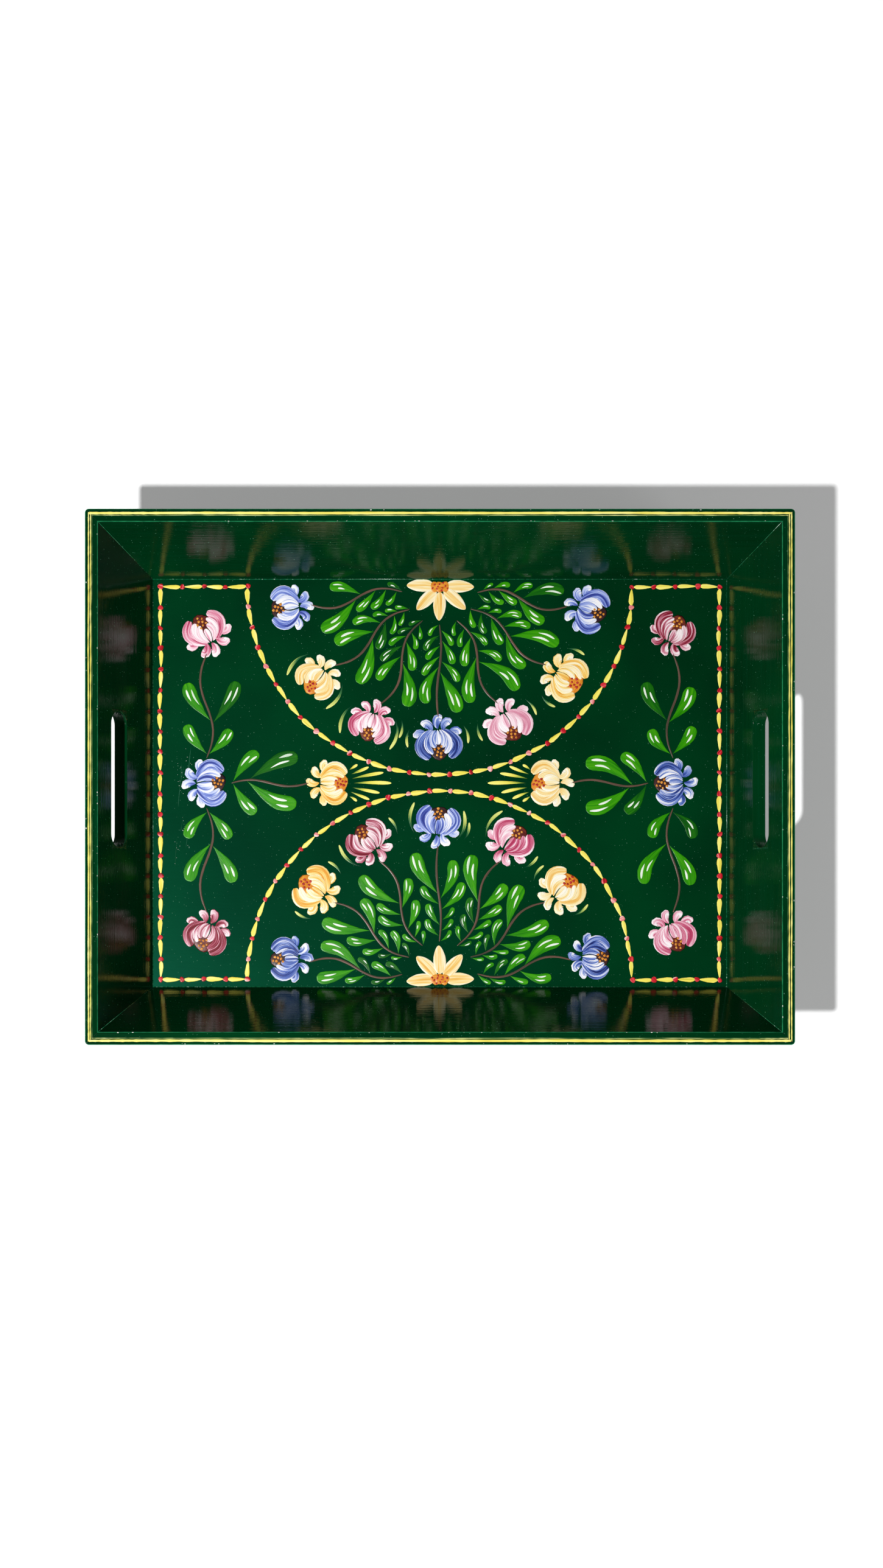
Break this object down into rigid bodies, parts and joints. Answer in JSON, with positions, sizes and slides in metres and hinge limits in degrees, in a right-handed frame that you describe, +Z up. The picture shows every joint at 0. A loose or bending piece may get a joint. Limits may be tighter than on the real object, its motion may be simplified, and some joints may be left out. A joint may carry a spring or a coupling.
{
  "type": "serving tray",
  "caption": "Rectangular wooden serving tray with high splayed sides, mitred corners, a flat floor and a stadium-shaped hand slot through each end.",
  "frame": {"origin": "under the centre of the tray, on the surface it stands on", "axes": "+X along the tray's length, from hand slot to hand slot; +Y across it; +Z up out of the well"},
  "size_m": [0.5192, 0.3922, 0.086],
  "materials": {
    "board_lacquer": "dark green paint under gloss lacquer",
    "floor_lacquer": "dark green paint under gloss lacquer, slightly worn",
    "brad_steel": "bright drawn wire",
    "flower_paint": "brushed oil colour on the lacquered wood",
    "leaf_paint": "brushed oil colour on the lacquered wood",
    "line_paint": "brushed oil colour on the lacquered wood"
  },
  "bodies": {
    "root": {"base_panel": "floor_lacquer", "side_board_front": "board_lacquer", "side_board_back": "board_lacquer", "end_board_left": "board_lacquer", "end_board_right": "board_lacquer", "brads_front_left": "brad_steel", "brads_front_right": "brad_steel", "brads_back_left": "brad_steel", "brads_back_right": "brad_steel"}
  },
  "joints": []
}
